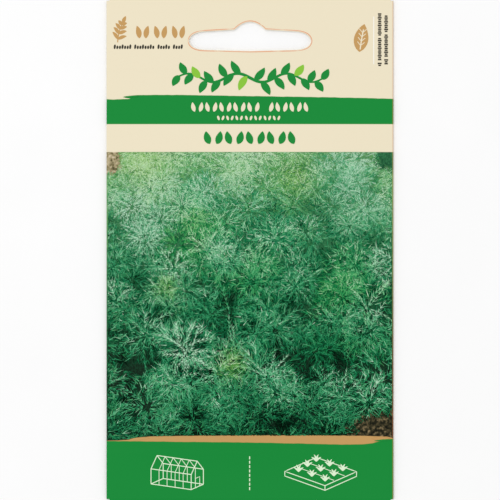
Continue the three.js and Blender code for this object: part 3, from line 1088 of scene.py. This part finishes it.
def grow_tuft(draw, threads, spray, gaps):
    """A small fan of threads that points away from the spray's middle and droops a little."""
    turn = draw.uniform(0, 2 * math.pi)
    share = math.sqrt(draw.random())
    reach = SPRAY_REACH * spray.size * share
    root = (spray.x + reach * math.cos(turn), spray.y + reach * SPRAY_FLATNESS * math.sin(turn))
    heading = turn + draw.gauss(0, TUFT_TURN) - DROOP * math.cos(turn)
    shade = max(place_sum(gaps, *root), DEEPEST_GAP)
    light = spray_light(share, turn) + draw.gauss(0, TUFT_SHARE) + shade
    for _ in range(TUFT_THREADS):
        slant = heading + draw.uniform(-TUFT_FAN, TUFT_FAN)
        own_light = THREAD_RANGE * (draw.random() ** THREAD_POWER - THREAD_MIDDLE)
        tone = spray.middle + (light + own_light) * spray.spread
        add_thread(draw, threads, spray, root, slant, THREAD_LENGTH * draw.uniform(*THREAD_LENGTHS), tone)


def grow_frond(draw, threads, spray, turn):
    """A light feather: a bent stem in short runs, with a thread on each side of every run."""
    root = stepped((spray.x, spray.y), FROND_START * SPRAY_REACH * spray.size, turn)
    run = SPRAY_REACH * draw.uniform(*FROND_LENGTHS) / FROND_JOINTS
    bend = draw.uniform(-FROND_BEND, FROND_BEND) - 2 * DROOP * math.cos(turn)
    own_light = FROND_LIGHT + draw.gauss(0, FROND_SHARE)
    for joint in range(FROND_JOINTS):
        share = (joint + 0.5) / FROND_JOINTS
        heading = turn + bend * share
        tone = spray.middle + (spray_light(share, turn) + own_light) * spray.spread
        for slant in (0.0, -draw.uniform(*SIDE_SLANTS), draw.uniform(*SIDE_SLANTS)):
            length = THREAD_LENGTH * draw.uniform(*SIDE_LENGTHS) if slant else run * FROND_STEM
            add_thread(draw, threads, spray, root, heading + slant, length, tone + draw.gauss(0, SIDE_TONE))
        root = stepped(root, run * spray.size, heading)


def make_threads():
    """All threads of the picture, from its top down."""
    draw = random.Random(3)
    threads = []
    gaps = [(x, y, size, depth * smoothstep(y, *GAP_RANGE))
            for x, y, size, depth in soft_places(draw, *GAPS)]
    for spray in make_sprays(draw):
        for _ in range(TUFTS):
            grow_tuft(draw, threads, spray, gaps)
        first = draw.uniform(0, 2 * math.pi)
        for frond in range(FRONDS):
            off = frond + draw.uniform(-FROND_SPACING, FROND_SPACING)
            grow_frond(draw, threads, spray, first + 2 * math.pi * off / FRONDS)
    return sorted(threads, key=lambda thread: -thread.y)


def on_chart(tone, hue):
    """Place on the chart of tones: hue from sunny over cool to fresh across, tone from dark to light up."""
    across = 0.5 + (0.5 - CHART_MARGIN) * clamped(hue, -1.0, 1.0)
    return across, CHART_MARGIN + (1 - 2 * CHART_MARGIN) * clamped(tone, 0.0, 1.0)


def sliver(thread):
    """A thread's corners, with their levels over the paper, and the corners' places on the chart."""
    run_x, run_y = thread.tip_x - thread.x, thread.tip_y - thread.y
    half = thread.width / 2 / math.hypot(run_x, run_y)
    side_x, side_y = -run_y * half, run_x * half
    corners = (
        (thread.x - side_x, thread.y - side_y, thread.level),
        (thread.tip_x, thread.tip_y, thread.tip_level),
        (thread.x + side_x, thread.y + side_y, thread.level),
        (thread.x, thread.y, -PILE_ROOT_DEPTH),
    )
    u, v = on_chart(thread.tone - TONE_RUN, thread.hue)
    tip = on_chart(thread.tone + TONE_RUN, thread.hue)
    return corners, ((u - CHART_SPREAD, v), tip, (u + CHART_SPREAD, v), (u, v - CHART_SPREAD))


def thread_mesh(name, threads):
    """Threads as closed slivers: a flat top that narrows to the tip, and one corner sunk in the paper."""
    vertices = []
    faces = []
    uvs = []
    for thread in threads:
        corners, chart = sliver(thread)
        for face in SLIVER_FACES:
            faces.append([len(vertices) + i for i in face])
            uvs += [number for i in face for number in chart[i]]
        vertices += [(x, y, face_height(x, y) + level) for x, y, level in corners]
    mesh = new_mesh(name, vertices, faces)
    mesh.uv_layers.new(name="OFBake").data.foreach_set("uv", uvs)
    return mesh


def make_thread_material():
    """Green ink whose tone and hue each thread takes from its place on the chart."""
    material, nodes = new_material("foliage_ink")
    across, up = nodes.split(nodes.node("ShaderNodeUVMap", uv_map="OFBake").outputs["UV"])[:2]
    freshness = nodes.remap(across, 0.5, 1 - CHART_MARGIN)
    sunniness = nodes.remap(across, 0.5, CHART_MARGIN)
    colour = nodes.mix(freshness, nodes.ramp(up, COOL_TONES), nodes.ramp(up, FRESH_TONES))
    colour = nodes.mix(sunniness, colour, nodes.ramp(up, SUNNY_TONES))
    nodes.surface(colour, roughness=0.6, gloss=0.01)
    return material


# Plain ornaments, as thin strips of ink

STRIP_LEVEL = 0.02
STRIP_STEP = 0.0003
STRIP_DEPTH = 0.03
LONGEST_RUN = 1.2
# A leaf's or an oval's width at its very ends, and how a leaf's width changes along it
POINT = 0.03
LEAF_FORE = 0.85
LEAF_FULLNESS = 0.8
LEAF_STEPS = 10
OVAL_STEPS = 8
LINE = 0.24
FINE_LINE = 0.18
INK_FIBRE_SHARE = 0.05

INK_COLOURS = {
    "orange": LINE_ORANGE,
    "tan": TAN,
    "dark": DARK_INK,
    "cream": CREAM,
    "white": WHITE_INK,
    "green": GREEN,
    "light_green": LIGHT_LEAF,
    "pale": PALE_INK,
}


class Ink:
    """Closed strips of one ink on the front panel, each a hair higher than every strip drawn before it."""
    drawn = 0

    def __init__(self, name):
        self.name = name
        self.vertices = []
        self.faces = []

    def add_faces(self, stations, closed):
        """Faces of the strip whose points come next, four points at each station."""
        base = len(self.vertices)
        for i in range(stations if closed else stations - 1):
            a = base + 4 * i
            b = base + 4 * ((i + 1) % stations)
            self.faces += [(a, b, b + 2, a + 2), (a + 1, a + 3, b + 3, b + 1),
                           (a, a + 1, b + 1, b), (a + 2, b + 2, b + 3, a + 3)]
        if not closed:
            last = base + 4 * (stations - 1)
            self.faces += [(base, base + 2, base + 3, base + 1), (last, last + 1, last + 3, last + 2)]

    def strip(self, path, width, closed=False):
        """A strip along a path. Its width is a number, or a rule over the share of the way along."""
        path = finely(path, closed)
        self.add_faces(len(path), closed)
        level = STRIP_LEVEL + STRIP_STEP * Ink.drawn
        padded = path[-1:] + path + path[:1] if closed else path[:1] + path + path[-1:]
        for i, ((ax, ay), (x, y), (bx, by)) in enumerate(zip(padded, path, padded[2:])):
            wide = width(i / (len(path) - 1)) if callable(width) else width
            half = wide / 2 / math.hypot(bx - ax, by - ay)
            for side in (-half, half):
                across = (x - side * (by - ay), y + side * (bx - ax))
                height = face_height(*across)
                self.vertices += [(*across, height + level), (*across, height - STRIP_DEPTH)]
        Ink.drawn += 1

    def leaf(self, root, tip, width, bend=0.0):
        """A leaf from root to tip, widest near its middle, whose midline bends to the left."""
        run = (tip[0] - root[0], tip[1] - root[1])
        middle = ((root[0] + tip[0]) / 2 - run[1] * bend, (root[1] + tip[1]) / 2 + run[0] * bend)
        self.strip(quadratic(root, middle, tip, LEAF_STEPS),
                   lambda share: POINT + width * math.sin(math.pi * share ** LEAF_FORE) ** LEAF_FULLNESS)

    def leaf_row(self, start, pitch, count, foot, top, lean, width, bend, gap=None):
        """Leaves side by side that lean left and right in turn. The gap is a place that stays empty."""
        for i in range(count):
            x = start + pitch * i
            side = (-1) ** i
            if i != gap:
                self.leaf((x + lean * side, foot), (x - lean * side, top), width, bend * side)

    def oval(self, centre, length, width, angle):
        """A seed-like oval, whose ends are round."""
        start, end = (stepped(centre, side * length / 2, angle) for side in (-1, 1))
        self.strip(quadratic(start, centre, end, OVAL_STEPS),
                   lambda share: POINT + width * math.sqrt(max(0.0, 1 - (2 * share - 1) ** 2)))

    def mesh(self):
        return new_mesh(self.name, self.vertices, self.faces)


def finely(path, closed):
    """The path with its long runs cut into short ones, so that a strip follows the panel's shape."""
    fine = []
    ends = path[1:] + path[:1] if closed else path[1:]
    for (ax, ay), (bx, by) in zip(path, ends):
        steps = max(1, math.ceil(math.hypot(bx - ax, by - ay) / LONGEST_RUN))
        fine += [(ax + (bx - ax) * i / steps, ay + (by - ay) * i / steps) for i in range(steps)]
    return fine if closed else fine + [path[-1]]


def make_ink_material(name, colour):
    """Flat ink with the paper's fibre showing faintly through it."""
    material, nodes = new_material(name)
    fibre = nodes.noise(nodes.object_place(), FIBRE_GRAIN / MM)
    nodes.surface(nodes.mix(nodes.times(fibre, INK_FIBRE_SHARE), colour, FIBRE), roughness=0.5)
    return material


# The slot's line: how far it lies off the slot's edge, its width and how that swings along its length
SLOT_LINE_OFF = 0.28
SLOT_LINE = 0.22
SLOT_LINE_SWING = 0.03
SLOT_LINE_WAVE = 31
# Where the line is faint, as shares of its length, how far round those places and how much
FAINT_PLACES = (0.07, 0.13, 0.36, 0.43, 0.62, 0.7, 0.79, 0.93)
FAINT_REACH = 0.008
FAINTNESS = 0.8


def draw_slot_line(orange):
    """The printed line round the slot, faint in places as a light print's is."""
    def weight(share):
        faint = max(math.exp(-((share - place) / FAINT_REACH) ** 2) for place in FAINT_PLACES)
        return (SLOT_LINE + SLOT_LINE_SWING * math.sin(share * SLOT_LINE_WAVE)) * (1 - FAINTNESS * faint)
    orange.strip(slot_outline(SLOT_LINE_OFF), weight, closed=True)


# Groups of marks and of seeds in a row: where each starts, and how many it has
MARK_GROUPS = ((-37.7, 7), (-32.0, 8), (-25.5, 5), (-21.2, 4))
SEED_GROUPS = ((-8.8, 6), (-1.0, 4), (4.2, 4))
# Columns of ticks: place across, top and number. The ticks stand in words, with a gap after each
TICK_COLUMNS = ((36.15, 65.8, 28), (37.95, 65.2, 26))
TICK_LENGTHS = (0.95, 0.75, 1.1, 0.8)
TICK_PITCH = 0.53
TICK_WORD = 12


def draw_header_sprig(tan, dark):
    """A small sprig and a row of seeds at the header's left, over a row of small marks."""
    stem = quadratic((-36.9, 57.9), (-36.7, 61.2), (-35.5, 63.2), 8)
    tan.strip(stem, 0.3)
    tan.leaf(stem[-1], (-34.6, 65.2), 1.0, 0.05)
    for i, length in ((1, 2.6), (3, 2.4), (5, 2.1), (7, 1.6)):
        for side, angle in ((-1, 0.35), (1, 2.2)):
            tan.leaf(stem[i], stepped(stem[i], length, angle), 0.95, -0.16 * side)
    tan.leaf_row(start=-31.2, pitch=2.5, count=6, foot=59.0, top=62.5, lean=0.35, width=1.5, bend=-0.1)
    for start, count in MARK_GROUPS:
        for i in range(count):
            height = 1.35 if i % 3 == 0 else 1.0
            dark.oval((start + 0.72 * i, 56.5 + (height - 1.0) / 2), height, 0.55, 1.45)


def draw_header_leaf(tan, cream, white, dark):
    """A bold leaf at the header's right, a pale rule and two columns of small ticks."""
    tan.leaf((30.5, 55.2), (31.9, 63.0), 4.0, 0.04)
    cream.strip(quadratic((30.7, 55.9), (31.1, 59.0), (31.65, 61.5), 6), 0.34)
    for i in range(4):
        x, y = 30.85 + 0.18 * i, 57.0 + 1.2 * i
        for out, up in ((1.1, 0.9), (-0.9, 1.1)):
            cream.strip([(x, y), (x + out, y + up)], 0.2)
    white.strip([(34.5, 51.8), (34.5, 65.1)], 0.26)
    for column, (x, top, count) in enumerate(TICK_COLUMNS):
        for i in range(count):
            half = TICK_LENGTHS[(3 * i + column) % len(TICK_LENGTHS)] / 2
            y = top - TICK_PITCH * i
            if (i + 3 * column) % (TICK_WORD + 1) != TICK_WORD:
                dark.strip([(x - half, y), (x + half, y)], 0.4)


def draw_garland(green, light):
    """A wavy stem with leaves on both sides, over the green band."""
    half_length = 20.6
    middle = 48.0
    wave = 1.2
    half_waves = 6
    steps = 60
    leaves = 22

    def stem_place(share):
        x = -half_length + 2 * half_length * share
        return x, middle + wave * math.sin(share * half_waves * math.pi)
    stem = [stem_place(i / steps) for i in range(steps + 1)]
    green.strip(stem, lambda share: 0.85 - 0.4 * abs(2 * share - 1))
    for i in range(leaves):
        share = (i + 0.6) / leaves
        x, y = stem_place(share)
        outward = 1 if x > 0 else -1
        side = 1 if i % 2 else -1
        angle = side * (0.95 + 0.1 * math.sin(i * 2.1))
        length = 4.6 - 1.1 * abs(2 * share - 1)
        tip = (x + outward * length * math.cos(angle), y + length * math.sin(angle))
        ink = light if i % 7 == 3 else green
        ink.leaf((x, y), tip, 2.0, -0.14 * side * outward)


def draw_rows(cream, green):
    """Rows of leaflets and seeds where a packet has its name, in the band and under it."""
    cream.leaf_row(start=-15.7, pitch=1.96, count=17, foot=38.55, top=41.2, lean=0.32, width=1.15, bend=0.1,
                   gap=10)
    for start, count in SEED_GROUPS:
        for i in range(count):
            cream.oval((start + 1.28 * i, 36.8), 1.35, 0.62, 1.2 if i % 2 else 1.9)
    green.leaf_row(start=-11.7, pitch=2.93, count=9, foot=29.55, top=33.1, lean=0.55, width=1.95, bend=0.12)


def oblique(corner, along_step, across_step):
    """The rule for a pictogram's places: shares along and across its ground plan, and a height over it."""
    def place(along, across, up=0.0):
        x, y = (corner[k] + along_step[k] * along + across_step[k] * across for k in (0, 1))
        return x, y + up
    return place


def draw_greenhouse(pale):
    """A glasshouse in lines: two gable ends, the ridge, the eaves and the bars between them."""
    place = oblique((-27.6, -65.2), (11.2, -1.6), (3.4, 1.5))
    wall = 4.2
    roof = 3.0
    door = 2.6
    bars = 5

    def ridge(along):
        return place(along, 0.5, wall + roof)
    for across in (0, 1):
        for up in (wall, 0):
            pale.strip([place(0, across, up), place(1, across, up)], LINE)
    pale.strip([ridge(0), ridge(1)], LINE)
    for i in range(bars + 1):
        along = i / bars
        weight = LINE if i in (0, bars) else FINE_LINE
        for across in (0, 1):
            pale.strip([place(along, across), place(along, across, wall), ridge(along)], weight)
    for along in (0, 1):
        pale.strip([place(along, 0), place(along, 1)], LINE)
    pale.strip([place(1, 0.35), place(1, 0.35, door), place(1, 0.7, door), place(1, 0.7)], FINE_LINE)


def draw_garden_bed(pale):
    """A raised bed seen from one corner, with rows of sprouts."""
    ground = oblique((20.9, -67.0), (-11.2, 4.0), (8.8, 3.9))
    board = 1.3

    def top(along, across):
        return ground(along, across, board)
    pale.strip([top(0, 0), top(1, 0), top(1, 1), top(0, 1)], LINE, closed=True)
    pale.strip([top(1, 0), ground(1, 0), ground(0, 0), ground(0, 1), top(0, 1)], LINE)
    pale.strip([ground(0, 0), top(0, 0)], LINE)
    for across in (0.34, 0.67):
        pale.strip([top(0.04, across), top(0.96, across)], FINE_LINE)
    for row, across in enumerate((0.17, 0.5, 0.83)):
        for i in range(3):
            x, y = top(0.17 + 0.33 * i + 0.04 * (row - 1), across)
            for lean in (-0.95, -0.4, 0.4, 0.95):
                tip = (x + 1.7 * math.sin(lean), y + 2.2 * math.cos(lean))
                pale.leaf((x, y), tip, 0.46, math.copysign(0.2, lean))


def draw_divider(pale):
    """The dashed line between the two pictograms."""
    dash, gap = 0.81, 0.42
    for i in range(8):
        top = -57.5 - i * (dash + gap)
        pale.strip([(-0.1, top), (-0.1, top - dash)], 0.3)


def draw_brush_tips(green, cream, tan):
    """The ragged ends that the brushed bands have."""
    green.leaf((-35.4, 42.65), (-31.0, 42.8), 0.45)
    cream.leaf((-36.4, 42.25), (-33.4, 42.2), 0.3)
    tan.leaf((-28.0, -52.35), (-33.6, -52.75), 0.7)
    tan.leaf((34.0, -52.55), (39.2, -52.5), 0.75)
    green.leaf((39.3, -52.85), (34.6, -53.2), 0.5)


def draw_ornaments():
    """Every ornament, sorted by ink."""
    inks = {name: Ink("ink_" + name) for name in INK_COLOURS}
    draw_slot_line(inks["orange"])
    draw_header_sprig(inks["tan"], inks["dark"])
    draw_header_leaf(inks["tan"], inks["cream"], inks["white"], inks["dark"])
    draw_garland(inks["green"], inks["light_green"])
    draw_rows(inks["cream"], inks["green"])
    draw_greenhouse(inks["pale"])
    draw_garden_bed(inks["pale"])
    draw_divider(inks["pale"])
    draw_brush_tips(inks["green"], inks["cream"], inks["tan"])
    return inks


# Looks of the model's own pieces, with grains in cycles a metre

SEED_GRAIN = 260
SEED_RIB_GRAINS = (500, 2600, 900)
RIB_HEIGHT = 0.08
GLUE_GRAIN = 320
GLUE_CLOUD_HEIGHT = 0.02


def make_seed_material():
    """Dry brown seeds with pale ribs."""
    material, nodes = new_material("dried_seed")
    place = nodes.object_place()
    patch = nodes.noise(place, SEED_GRAIN)
    rib = nodes.noise(nodes.stretched(place, *SEED_RIB_GRAINS), detail=3)
    colour = nodes.mix(nodes.remap(patch, 0.35, 0.65), *SEED_TONES)
    colour = nodes.mix(nodes.remap(rib, 0.55, 0.7, to_high=0.6), colour, SEED_RIB)
    nodes.surface(colour, roughness=0.8, normal=nodes.bump(rib, RIB_HEIGHT * MM))
    return material


def make_glue_material():
    """A thin dried film, a little cloudy."""
    material, nodes = new_material("dried_glue")
    cloud = nodes.noise(nodes.object_place(), GLUE_GRAIN)
    roughness = nodes.remap(cloud, 0.3, 0.7, to_low=0.3, to_high=0.45)
    normal = nodes.bump(cloud, GLUE_CLOUD_HEIGHT * MM)
    nodes.surface(nodes.mix(cloud, *GLUE_TONES), roughness, normal, gloss=0.5)
    return material


def dress(node_name, material):
    """A node of the model keeps its shape and gets a better material."""
    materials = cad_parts[node_name].data.materials
    materials.clear()
    materials.append(material)


# Run order

PICTURE_PIECES = ("picture_far", "picture_upper", "picture_lower", "picture_near")

make_camera()
make_light()
make_floor()

print_material = make_print_material()
for piece_name, patches in (("sheet_front", [front_patch()]), ("sheet_back", back_patches())):
    sheet = add_piece(piece_name, paper_mesh(piece_name, patches), print_material)
    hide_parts("paper_sheet")

thread_material = make_thread_material()
all_threads = make_threads()
threads_each = math.ceil(len(all_threads) / len(PICTURE_PIECES))
for i, piece_name in enumerate(PICTURE_PIECES):
    piece_threads = all_threads[i * threads_each:(i + 1) * threads_each]
    add_piece(piece_name, thread_mesh(piece_name, piece_threads), thread_material)
for ink_name, ink in draw_ornaments().items():
    add_piece(ink.name, ink.mesh(), make_ink_material(ink.name, INK_COLOURS[ink_name]))

dress("seed_heap", make_seed_material())
glue_material = make_glue_material()
for node_name in ("glue_back_seam", "glue_bottom_flap", "glue_top_flap"):
    dress(node_name, glue_material)
